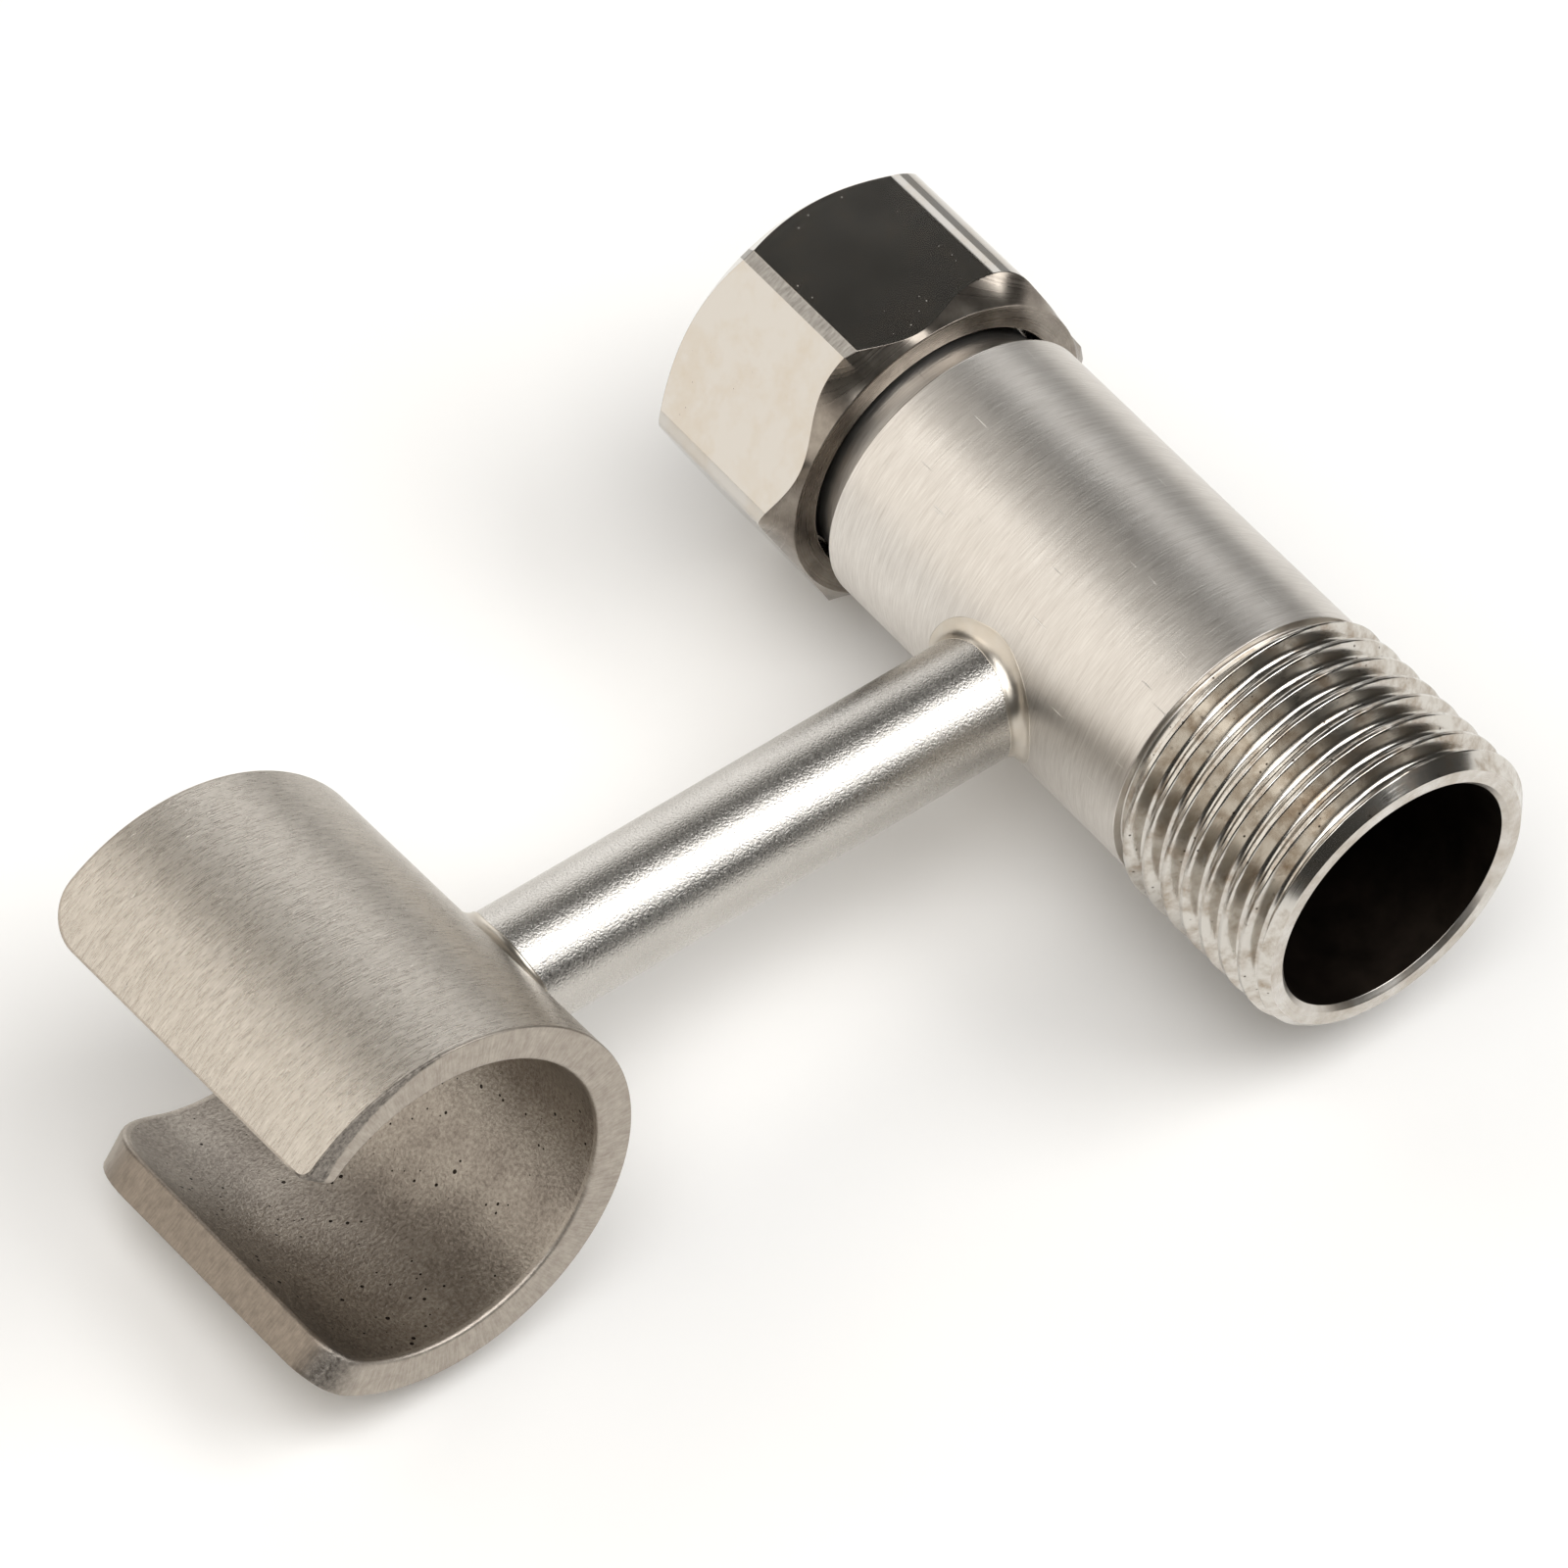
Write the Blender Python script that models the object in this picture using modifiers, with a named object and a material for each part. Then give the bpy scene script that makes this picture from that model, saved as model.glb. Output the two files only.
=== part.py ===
"""Hose connector with a hand-spray cradle, turned and welded from stainless steel.

A short pipe carries a loose hexagon nut at its inlet and a male pipe thread at its outlet.
A round arm, welded square to the pipe, holds an open C-shaped cradle for a hand spray.
The connector lies on its side: the pipe runs along Y with its outlet towards -Y, the arm
runs towards -X, and the origin is under the middle of the whole object.
"""
import math

import bmesh
import bpy
from mathutils import Vector

# Sizes are in metres and angles in degrees. A reach is measured from the point where the axes
# of the pipe and the arm cross.

# Pipe
PIPE_DIAMETER = 0.0201
OUTLET_REACH = 0.0274
SHOULDER_REACH = 0.0151
OUTLET_BORE_DIAMETER = 0.0168
OUTLET_BORE_DEPTH = 0.0378
INLET_BORE_DIAMETER = 0.0120
DRILL_POINT_ANGLE = 118.0
EDGE_BREAK = 0.00025

# Outlet thread, G 1/2, drawn as its envelope with a run-out groove behind it
THREAD_DIAMETER = 0.020955
THREAD_LENGTH = 0.0136
THREAD_LEAD = 0.00085
THREAD_CHAMFER = 0.0002
RUNOUT_WIDTH = 0.0008
RUNOUT_DIAMETER = 0.0189

# Neck that carries the nut
NECK_DIAMETER = 0.0176
NECK_LAND = 0.0010

# Nut, with the inlet thread drawn as its bore over the crests
NUT_ACROSS_FLATS = 0.0223
NUT_CORNER_DIAMETER = 0.0253
NUT_LENGTH = 0.0131
NUT_STAND_OFF = 0.0021
NUT_TURN = -26.5
NUT_FACE_DIAMETER = 0.0221
NUT_CHAMFER_ANGLE = 40.0
NUT_LIP = 0.0016
NUT_LIP_BORE = 0.0184
NUT_LIP_LEAD = 0.0003
NUT_THREAD_BORE = 0.01863
NUT_RELIEF_DIAMETER = 0.0211
NUT_RELIEF_LENGTH = 0.0030
NUT_MOUTH_DIAMETER = 0.0212

# Snap ring behind the nut's lip, and the washer on the end of the neck
RING_WIRE = 0.0014
RING_DIAMETER = 0.0193
RING_SPLIT = 24.0
RING_SPRING_ROOM = 0.0008
WASHER_DIAMETER = 0.0180
WASHER_BORE = 0.0125
WASHER_THICKNESS = 0.0020

# Arm and cradle; the cradle is welded on a few degrees askew about the arm
ARM_DIAMETER = 0.0081
CRADLE_REACH = 0.0592
CRADLE_DIAMETER = 0.0264
CRADLE_WALL = 0.0024
CRADLE_OUTLET_REACH = 0.0132
CRADLE_NUT_REACH = 0.0129
CRADLE_TWIST = -5.8
OUTLET_SAW_ANGLE = 1.3
NUT_SAW_ANGLE = 3.0
MOUTH_ANGLE = 82.2
MOUTH_TURN = 4.2
LIP_CORNER_RADIUS = 0.0030
GROUND_CORNER_RADIUS = 0.0063
SQUARE_CORNER_RADIUS = 0.0008
WELD_LEG = 0.0010
WELD_TOE = 0.0002

# Gap kept between pieces that touch
SEAT_GAP = 0.0003

# Facets
TURNED_STEPS = 72
ARM_STEPS = 36
WELD_STEPS = 48
WELD_ARC_STEPS = 4
RING_POINTS = 48
CRADLE_STEPS = 48
CRADLE_ROWS = 12

# Stations along the pipe's axis, outlet to inlet
PIPE_OUTLET = -OUTLET_REACH
PIPE_RUNOUT = PIPE_OUTLET + THREAD_LENGTH
PIPE_BODY_START = PIPE_RUNOUT + RUNOUT_WIDTH
NUT_FACE = SHOULDER_REACH + NUT_STAND_OFF
NUT_LIP_BACK = NUT_FACE + NUT_LIP
NUT_END = NUT_FACE + NUT_LENGTH
RING_STATION = NUT_LIP_BACK + SEAT_GAP + RING_WIRE / 2
GROOVE_START = RING_STATION - RING_WIRE / 2 - SEAT_GAP
GROOVE_END = RING_STATION + RING_WIRE / 2 + SEAT_GAP
NECK_END = GROOVE_END + NECK_LAND
WASHER_START = NECK_END + SEAT_GAP

TURN_TO_PIPE = (math.radians(-90), 0.0, 0.0)
TURN_TO_ARM = (0.0, math.radians(-90), 0.0)
TURN_TO_ARM_BACK = (0.0, math.radians(90), 0.0)


def clear_scene():
    """Remove every object that the scene starts with."""
    for old in list(bpy.data.objects):
        bpy.data.objects.remove(old, do_unlink=True)


def new_collection(name):
    collection = bpy.data.collections.new(name)
    bpy.context.scene.collection.children.link(collection)
    return collection


def new_material(name, colour, roughness, metallic=1.0):
    material = bpy.data.materials.new(name)
    material.use_nodes = True
    shader = material.node_tree.nodes["Principled BSDF"]
    shader.inputs["Base Color"].default_value = (*colour, 1.0)
    shader.inputs["Roughness"].default_value = roughness
    shader.inputs["Metallic"].default_value = metallic
    return material


def new_empty(name, collection, parent=None, location=(0.0, 0.0, 0.0), rotation=(0.0, 0.0, 0.0)):
    empty = bpy.data.objects.new(name, None)
    empty.empty_display_size = PIPE_DIAMETER
    empty.parent = parent
    empty.location = location
    empty.rotation_euler = rotation
    collection.objects.link(empty)
    return empty


def place(name, data, collection, parent, location=(0.0, 0.0, 0.0), rotation=(0.0, 0.0, 0.0)):
    """Make an object of mesh or curve data and set it under its parent."""
    piece = bpy.data.objects.new(name, data)
    piece.parent = parent
    piece.location = location
    piece.rotation_euler = rotation
    collection.objects.link(piece)
    return piece


def finish(piece, material):
    piece.data.materials.append(material)
    if piece.type == "MESH":
        piece.data.shade_smooth()
        piece.data.set_sharp_from_angle(angle=math.radians(30))


def hide_cutter(cutter):
    cutter.hide_render = True
    cutter.display_type = "WIRE"


def add_boolean(piece, operation, cutter):
    cut = piece.modifiers.new(cutter.name, "BOOLEAN")
    cut.operation = operation
    cut.solver = "EXACT"
    cut.object = cutter


def profile_mesh(name, profile):
    """Closed loop of edges from (radius, station) pairs, in the XZ plane."""
    mesh = bpy.data.meshes.new(name)
    points = [(radius, 0.0, station) for radius, station in profile]
    edges = [(i, (i + 1) % len(points)) for i in range(len(points))]
    mesh.from_pydata(points, edges, [])
    return mesh


def add_turning(piece):
    """Turn a piece's profile a full circle about its own Z axis."""
    screw = piece.modifiers.new("Turn", "SCREW")
    screw.axis = "Z"
    screw.angle = math.radians(360)
    screw.steps = TURNED_STEPS
    screw.render_steps = TURNED_STEPS
    screw.use_merge_vertices = True
    screw.merge_threshold = 0.000001


def cylinder_mesh(name, radius, length, steps):
    mesh = bpy.data.meshes.new(name)
    shape = bmesh.new()
    bmesh.ops.create_cone(shape, cap_ends=True, segments=steps, radius1=radius, radius2=radius, depth=length)
    shape.to_mesh(mesh)
    shape.free()
    return mesh


def pipe_profile():
    """Outside from the neck's end to the outlet, then the bore from the outlet to the neck."""
    pipe = PIPE_DIAMETER / 2
    thread = THREAD_DIAMETER / 2
    runout = RUNOUT_DIAMETER / 2
    neck = NECK_DIAMETER / 2
    groove = RING_DIAMETER / 2 - RING_WIRE - RING_SPRING_ROOM
    bore = OUTLET_BORE_DIAMETER / 2
    inlet = INLET_BORE_DIAMETER / 2
    bore_end = PIPE_OUTLET + OUTLET_BORE_DEPTH
    drill_point = (bore - inlet) / math.tan(math.radians(DRILL_POINT_ANGLE / 2))
    outside = [
        (neck - EDGE_BREAK, NECK_END),
        (neck, NECK_END - EDGE_BREAK),
        (neck, GROOVE_END),
        (groove, GROOVE_END),
        (groove, GROOVE_START),
        (neck, GROOVE_START),
        (neck, SHOULDER_REACH),
        (pipe - EDGE_BREAK, SHOULDER_REACH),
        (pipe, SHOULDER_REACH - EDGE_BREAK),
        (pipe, PIPE_BODY_START),
        (runout, PIPE_BODY_START),
        (runout, PIPE_RUNOUT),
        (thread - THREAD_CHAMFER, PIPE_RUNOUT),
        (thread, PIPE_RUNOUT - THREAD_CHAMFER),
        (thread, PIPE_OUTLET + THREAD_LEAD),
        (thread - THREAD_LEAD, PIPE_OUTLET),
    ]
    inside = [
        (bore + EDGE_BREAK, PIPE_OUTLET),
        (bore, PIPE_OUTLET + EDGE_BREAK),
        (bore, bore_end),
        (inlet, bore_end + drill_point),
        (inlet, NECK_END),
    ]
    return outside + inside


def nut_profile():
    """Turned blank of the nut: chamfered corners outside, lip, relief and thread bore inside."""
    corner = NUT_CORNER_DIAMETER / 2
    face = NUT_FACE_DIAMETER / 2
    chamfer = (corner - face) * math.tan(math.radians(NUT_CHAMFER_ANGLE))
    lip = NUT_LIP_BORE / 2
    relief = NUT_RELIEF_DIAMETER / 2
    thread = NUT_THREAD_BORE / 2
    mouth = NUT_MOUTH_DIAMETER / 2
    relief_end = NUT_LIP_BACK + NUT_RELIEF_LENGTH
    outside = [
        (face, NUT_END),
        (corner, NUT_END - chamfer),
        (corner, NUT_FACE + chamfer),
        (face, NUT_FACE),
    ]
    inside = [
        (lip + NUT_LIP_LEAD, NUT_FACE),
        (lip, NUT_FACE + NUT_LIP_LEAD),
        (lip, NUT_LIP_BACK),
        (relief, NUT_LIP_BACK),
        (relief, relief_end - (relief - thread)),
        (thread, relief_end),
        (thread, NUT_END - (mouth - thread)),
        (mouth, NUT_END),
    ]
    return outside + inside


def washer_profile():
    outer = WASHER_DIAMETER / 2
    inner = WASHER_BORE / 2
    far = WASHER_START + WASHER_THICKNESS
    return [
        (outer - EDGE_BREAK, far),
        (outer, far - EDGE_BREAK),
        (outer, WASHER_START + EDGE_BREAK),
        (outer - EDGE_BREAK, WASHER_START),
        (inner, WASHER_START),
        (inner, far),
    ]


def turned_piece(name, profile, collection, parent):
    piece = place(name, profile_mesh(name, profile), collection, parent, rotation=TURN_TO_PIPE)
    add_turning(piece)
    return piece


def make_swivel_nut(collection, cutters, parent):
    """Turned blank cut down to a hexagon, which leaves the chamfers as scallops on the flats."""
    nut = turned_piece("swivel_nut", nut_profile(), collection, parent)
    nut.rotation_euler.rotate_axis("Z", math.radians(NUT_TURN))
    corner_radius = NUT_ACROSS_FLATS / 2 / math.cos(math.radians(30))
    hexagon_mesh = cylinder_mesh("hexagon", corner_radius, 2 * NUT_LENGTH, 6)
    hexagon = place("hexagon", hexagon_mesh, cutters, nut, (0.0, 0.0, NUT_FACE + NUT_LENGTH / 2))
    hide_cutter(hexagon)
    add_boolean(nut, "INTERSECT", hexagon)
    return nut


def make_retaining_ring(collection, parent):
    """Split wire ring: an arc of round wire that stops short of a full turn."""
    wire = bpy.data.curves.new("retaining_ring", "CURVE")
    wire.dimensions = "3D"
    wire.bevel_depth = RING_WIRE / 2
    wire.bevel_resolution = 2
    wire.use_fill_caps = True
    radius = RING_DIAMETER / 2 - RING_WIRE / 2
    first = math.radians(RING_SPLIT / 2)
    sweep = math.radians(360 - RING_SPLIT)
    spline = wire.splines.new("POLY")
    spline.points.add(RING_POINTS - 1)
    for i, point in enumerate(spline.points):
        turn = first + sweep * i / (RING_POINTS - 1)
        point.co = (radius * math.cos(turn), radius * math.sin(turn), RING_STATION, 1.0)
    return place("retaining_ring", wire, collection, parent, rotation=TURN_TO_PIPE)


def make_arm(collection, cutters, parent, cradle_axis):
    """Round bar with both ends coped to the round walls that they meet."""
    middle = (-CRADLE_REACH / 2, 0.0, 0.0)
    bar = cylinder_mesh("holder_arm", ARM_DIAMETER / 2, CRADLE_REACH, ARM_STEPS)
    arm = place("holder_arm", bar, collection, parent, middle, TURN_TO_ARM)
    copes = (("pipe_cope", PIPE_DIAMETER, parent), ("cradle_cope", CRADLE_DIAMETER, cradle_axis))
    for name, diameter, axis in copes:
        wall = cylinder_mesh(name, diameter / 2 + SEAT_GAP, 2 * ARM_DIAMETER, TURNED_STEPS)
        cutter = place(name, wall, cutters, axis, rotation=TURN_TO_PIPE)
        hide_cutter(cutter)
        add_boolean(arm, "DIFFERENCE", cutter)
    return arm


def corner_inset(from_end, radius):
    """How far a rounded corner has drawn the lip in, at a distance from the sheet's end."""
    short = max(radius - from_end, 0.0)
    return radius - math.sqrt(radius ** 2 - short ** 2)


def make_cradle(collection, parent):
    """Rolled sheet: a grid with rounded corners wrapped round the cradle's axis, then thickened.

    Across the grid the angle runs from lip to lip. Along it the first row each way from the
    middle ends the straight lip, and the rest follow the corner arcs, which draw the lips in
    towards both ends. Both saw cuts lean, so that the upper part is longer. The lower corner at
    the nut's end is ground to a larger radius, and the upper one at the outlet's end is left
    nearly square.
    """
    radius = CRADLE_DIAMETER / 2
    straight_share = 2 / CRADLE_ROWS
    half_mouth = MOUTH_ANGLE / 2
    upper_lip = math.radians(180 - MOUTH_TURN - half_mouth)
    lower_lip = math.radians(-180 - MOUTH_TURN + half_mouth)
    sheet = bmesh.new()
    bmesh.ops.create_grid(sheet, x_segments=CRADLE_STEPS, y_segments=CRADLE_ROWS, size=1.0)
    for corner in sheet.verts:
        share = abs(corner.co.y)
        side = math.copysign(1.0, corner.co.y)
        end_reach = CRADLE_NUT_REACH if side > 0 else CRADLE_OUTLET_REACH
        saw_angle = NUT_SAW_ANGLE if side > 0 else OUTLET_SAW_ANGLE
        lower_radius = GROUND_CORNER_RADIUS if side > 0 else LIP_CORNER_RADIUS
        upper_radius = LIP_CORNER_RADIUS if side > 0 else SQUARE_CORNER_RADIUS
        widest = max(lower_radius, upper_radius)
        straight = end_reach - widest
        arc = math.radians(90) * max(share - straight_share, 0.0) / (1.0 - straight_share)
        from_end = widest * (1.0 - math.sin(arc)) + straight * max(1.0 - share / straight_share, 0.0)
        first = lower_lip + corner_inset(from_end, lower_radius) / radius
        last = upper_lip - corner_inset(from_end, upper_radius) / radius
        turn = first + (last - first) * (corner.co.x + 1.0) / 2
        along = side * (end_reach - from_end)
        height = radius * math.sin(turn)
        lean = math.tan(math.radians(saw_angle)) * height / end_reach
        corner.co = (radius * math.cos(turn), along * (1.0 + lean), height)
    bmesh.ops.recalc_face_normals(sheet, faces=sheet.faces)
    if sheet.faces[0].normal.dot(sheet.faces[0].calc_center_median()) < 0:
        bmesh.ops.reverse_faces(sheet, faces=sheet.faces)
    mesh = bpy.data.meshes.new("spray_cradle")
    sheet.to_mesh(mesh)
    sheet.free()
    cradle = place("spray_cradle", mesh, collection, parent)
    wall = cradle.modifiers.new("Wall", "SOLIDIFY")
    wall.thickness = CRADLE_WALL
    wall.offset = -1.0
    wall.use_even_offset = True
    edges = cradle.modifiers.new("Deburr", "BEVEL")
    edges.width = EDGE_BREAK
    edges.segments = 1
    edges.limit_method = "ANGLE"
    edges.angle_limit = math.radians(50)
    return cradle


def make_weld(name, seat_diameter, collection, parent, rotation):
    """Concave fillet round the arm, riding up and down on the round wall that it joins.

    At each turn about the arm the section is a small corner: one side up the arm, one side out
    along the wall, and a quarter arc between their toes.
    """
    inner = ARM_DIAMETER / 2 + SEAT_GAP
    seat = seat_diameter / 2 + SEAT_GAP
    arc_leg = WELD_LEG - WELD_TOE
    section = [(0.0, 0.0), (0.0, WELD_LEG)]
    for step in range(WELD_ARC_STEPS + 1):
        arc = math.radians(90) * step / WELD_ARC_STEPS
        section.append((WELD_LEG - arc_leg * math.cos(arc), WELD_LEG - arc_leg * math.sin(arc)))
    section.append((WELD_LEG, 0.0))
    points = []
    for step in range(WELD_STEPS):
        turn = math.radians(360) * step / WELD_STEPS
        for out, up in section:
            across = (inner + out) * math.cos(turn)
            along = (inner + out) * math.sin(turn)
            points.append((across, along, math.sqrt(seat ** 2 - across ** 2) + up))
    count = len(section)
    faces = []
    for step in range(WELD_STEPS):
        here = step * count
        after = (step + 1) % WELD_STEPS * count
        for i in range(count):
            j = (i + 1) % count
            faces.append((here + i, here + j, after + j, after + i))
    mesh = bpy.data.meshes.new(name)
    mesh.from_pydata(points, [], faces)
    return place(name, mesh, collection, parent, rotation=rotation)


def stand_on_origin(root, pieces):
    """Move the assembly so that the origin is under the middle of its box."""
    bpy.context.view_layer.update()
    graph = bpy.context.evaluated_depsgraph_get()
    corners = []
    for piece in pieces:
        shown = piece.evaluated_get(graph)
        corners.extend(shown.matrix_world @ vertex.co for vertex in shown.to_mesh().vertices)
        shown.to_mesh_clear()
    low = Vector(min(corner[axis] for corner in corners) for axis in range(3))
    high = Vector(max(corner[axis] for corner in corners) for axis in range(3))
    root.location -= Vector(((low.x + high.x) / 2, (low.y + high.y) / 2, low.z))
    bpy.context.view_layer.update()


def main():
    clear_scene()
    parts = new_collection("spray_holder_connector")
    cutters = new_collection("cutters")
    satin = new_material("turned_stainless", (0.56, 0.53, 0.49), 0.34)
    polished = new_material("polished_stainless", (0.64, 0.61, 0.57), 0.16)
    blasted = new_material("blasted_stainless", (0.60, 0.57, 0.53), 0.30)
    brushed = new_material("brushed_stainless", (0.50, 0.47, 0.43), 0.42)
    spring = new_material("spring_stainless", (0.55, 0.54, 0.52), 0.25)
    rubber = new_material("black_rubber", (0.02, 0.02, 0.02), 0.70, 0.0)

    root = new_empty("axes_crossing", parts)
    nut_axis = new_empty("nut_axis", parts, root)
    askew = (math.radians(CRADLE_TWIST), 0.0, 0.0)
    cradle_axis = new_empty("cradle_axis", parts, root, (-CRADLE_REACH, 0.0, 0.0), askew)
    body = turned_piece("connector_body", pipe_profile(), parts, root)
    nut = make_swivel_nut(parts, cutters, nut_axis)
    ring = make_retaining_ring(parts, root)
    washer = turned_piece("sealing_washer", washer_profile(), parts, root)
    arm = make_arm(parts, cutters, root, cradle_axis)
    cradle = make_cradle(parts, cradle_axis)
    body_weld = make_weld("body_weld", PIPE_DIAMETER, parts, root, TURN_TO_ARM)
    cradle_weld = make_weld("cradle_weld", CRADLE_DIAMETER, parts, cradle_axis, TURN_TO_ARM_BACK)

    finishes = {
        body: satin,
        nut: polished,
        ring: spring,
        washer: rubber,
        arm: blasted,
        cradle: brushed,
        body_weld: blasted,
        cradle_weld: blasted,
    }
    for piece, material in finishes.items():
        finish(piece, material)
    stand_on_origin(root, finishes)


main()
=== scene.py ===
"""Looks of a stainless hose connector with a hand-spray cradle.

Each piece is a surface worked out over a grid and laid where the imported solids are, with its metal, on a
pale floor among soft boxes, seen by the photograph's camera.
"""
import math

import bmesh
import bpy
import numpy as np
from mathutils import Matrix, Vector


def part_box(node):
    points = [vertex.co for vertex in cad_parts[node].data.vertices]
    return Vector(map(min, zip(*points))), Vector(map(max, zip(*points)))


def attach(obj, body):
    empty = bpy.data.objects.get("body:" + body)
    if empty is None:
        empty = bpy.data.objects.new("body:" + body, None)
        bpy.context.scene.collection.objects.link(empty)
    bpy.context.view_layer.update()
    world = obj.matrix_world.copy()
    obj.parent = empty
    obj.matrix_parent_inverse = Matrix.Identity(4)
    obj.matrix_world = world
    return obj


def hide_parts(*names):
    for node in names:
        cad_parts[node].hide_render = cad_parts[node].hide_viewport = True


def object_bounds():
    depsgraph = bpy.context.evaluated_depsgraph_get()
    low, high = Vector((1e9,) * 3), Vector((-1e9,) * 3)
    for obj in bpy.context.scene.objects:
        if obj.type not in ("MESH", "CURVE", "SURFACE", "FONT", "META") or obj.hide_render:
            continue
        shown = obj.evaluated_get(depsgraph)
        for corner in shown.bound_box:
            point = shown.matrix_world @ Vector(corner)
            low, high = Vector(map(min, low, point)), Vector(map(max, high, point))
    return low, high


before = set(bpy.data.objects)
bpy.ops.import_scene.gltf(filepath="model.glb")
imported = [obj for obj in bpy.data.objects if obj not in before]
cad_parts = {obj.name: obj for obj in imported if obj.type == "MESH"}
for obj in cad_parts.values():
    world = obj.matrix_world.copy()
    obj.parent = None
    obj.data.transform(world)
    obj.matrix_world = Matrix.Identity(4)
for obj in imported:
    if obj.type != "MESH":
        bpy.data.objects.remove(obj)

cad_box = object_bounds()
MM = 0.001


def middle(node):
    """Middle of a node's box, in metres."""
    low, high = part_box(node)
    return (np.array(low) + np.array(high)) / 2


# Shapes are worked out in millimetres from where the pipe's axis meets the arm's axis
CROSSING = np.array([middle("connector_body")[0], middle("holder_arm")[1], middle("connector_body")[2]])


def reach(node, axis):
    """Lowest and highest millimetre of a node along an axis, from the crossing."""
    low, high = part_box(node)
    return (low[axis] - CROSSING[axis]) / MM, (high[axis] - CROSSING[axis]) / MM


# Pipe, in millimetres
OUTLET, NECK_END = reach("connector_body", 1)
THREAD_RADIUS = reach("connector_body", 0)[1]
PITCH = 1.8143
THREAD_HALF_ANGLE = math.radians(27.5)
THREAD_CREST = 0.14
THREAD_ROOT = 0.41
THREAD_START = 0.6
THREAD_FADE = 0.7
THREAD_FADE_LAG = 0.3
LEAD_CHAMFER = 0.85
RUNOUT_START = OUTLET + 13.6
BODY_START = RUNOUT_START + 0.8
RUNOUT_RADIUS = 9.45
RUNOUT_CHAMFER = 0.2
PIPE_RADIUS = 10.05
SHOULDER = 15.1
NECK_RADIUS = 8.8
RING_GROOVE = (18.8, 20.8)
RING_GROOVE_RADIUS = 7.45
OUTLET_BORE = 8.4
INLET_BORE = 6.0
BORE_STEP = (10.4, 11.84)
BORE_CHAMFER = 0.33

# Nut, in millimetres
NUT_FACE, NUT_END = reach("swivel_nut", 1)
NUT_APOTHEM = 11.15
NUT_CORNER = 12.64
NUT_TURN = math.radians(-26.5)
NUT_RUBBED_CORNERS = {1: 2.6, 5: 1.5}
NUT_FACE_RADIUS = 11.05
NUT_SCALLOP = (1.18, 0.78)
NUT_SCALLOP_TURN = math.radians(30 - 11.2)
NUT_FAR_CHAMFER = math.radians(40)
NUT_LIP_RADIUS = 9.37
NUT_LIP = 1.6
NUT_RELIEF = (10.55, 3.0)
NUT_MINOR_RADIUS = 9.315
NUT_MOUTH_RADIUS = 10.6
WASHER_BORE = 6.25
RING_GAP = math.radians(24)

# Arm and cradle, in millimetres and radians
ARM_RADIUS = reach("holder_arm", 1)[1]
CRADLE_REACH = 59.2
CRADLE_RADIUS = 13.17
CRADLE_WALL = 2.4
CRADLE_OUTLET_END, CRADLE_NUT_END = -13.2, 12.9
CRADLE_TWIST = math.radians(-5.8)
OUTLET_LEAN, NUT_LEAN = math.tan(math.radians(1.3)), math.tan(math.radians(3.0))
UPPER_LIP = math.radians(134.7)
LOWER_LIP = math.radians(-142.6)
LIP_CORNER = 3.0
GROUND_CORNER = 6.3
SQUARE_CORNER = 0.8
PLATE_EDGE = 0.1
INNER_EDGE = 0.3

# Weld beads, in millimetres: leg on the arm, leg on the wall, step where the bead leaves the arm
PIPE_BEAD = (0.8, 0.9, 0.03)
CRADLE_BEAD = (0.85, 1.25, 0.1)

# Fineness of the grids: counts, millimetres, and shares of a chamfer and of a flat
TURN_STEPS = 192
THREAD_ROWS = 36
NUT_THREAD_ROWS = 16
LONGEST_RUN = 0.8
SUPPORT = 0.04
MERGE = 0.0005
OUTLINE_STEP = 0.3
FACE_ROWS = 36
FACE_START = 0.5
CHAMFER_ROWS = np.array([0.0, 0.05, 0.3, 0.6, 0.9, 0.97, 1.0])[:, None]
FLAT_ROWS = np.array([0.004, 0.05, 0.2, 0.4, 0.6, 0.8, 0.95, 0.996])[:, None]


def piece(name, points, closed, finishes, finish, flat=None):
    """Mesh object through a grid of points (rows, columns, xyz) in millimetres from the crossing.

    Neighbours are joined into quads, a closed direction joins its last line to its first, and points
    that meet at a pole become one. A face takes the finish of its row, or of its row and column, and
    flat holds each point's place on the unrolled plate: across, along and depth.
    """
    rows, columns = points.shape[:2]
    index = np.arange(rows * columns).reshape(rows, columns)
    if closed[0]:
        index = np.vstack([index, index[:1]])
    if closed[1]:
        index = np.hstack([index, index[:, :1]])
    quads = np.stack([index[:-1, :-1], index[1:, :-1], index[1:, 1:], index[:-1, 1:]], axis=-1)
    finish = np.asarray(finish)[:quads.shape[0]].reshape(quads.shape[0], -1)[:, :quads.shape[1]]
    slots = np.broadcast_to(finish, quads.shape[:2]).ravel()
    quads = quads.reshape(-1, 4)
    places = points.reshape(-1, 3) * MM + CROSSING
    first, second, third, fourth = places[quads].transpose(1, 0, 2)
    volume = np.sum(first * np.cross(second - first, third - first))
    volume += np.sum(first * np.cross(third - first, fourth - first))
    if volume < 0:
        quads = quads[:, ::-1]
    mesh = bpy.data.meshes.new(name)
    mesh.from_pydata(places, [], quads)
    mesh.polygons.foreach_set("material_index", slots.astype(np.int32))
    if flat is not None:
        layer = mesh.attributes.new("unrolled", "FLOAT_VECTOR", "POINT")
        layer.data.foreach_set("vector", flat.astype(np.float32).ravel())
    merged = bmesh.new()
    merged.from_mesh(mesh)
    bmesh.ops.remove_doubles(merged, verts=merged.verts, dist=MERGE * MM)
    merged.to_mesh(mesh)
    merged.free()
    mesh.shade_smooth()
    made = bpy.data.objects.new(name, mesh)
    bpy.context.scene.collection.objects.link(made)
    for material in finishes:
        mesh.materials.append(material)
    return made


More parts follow.
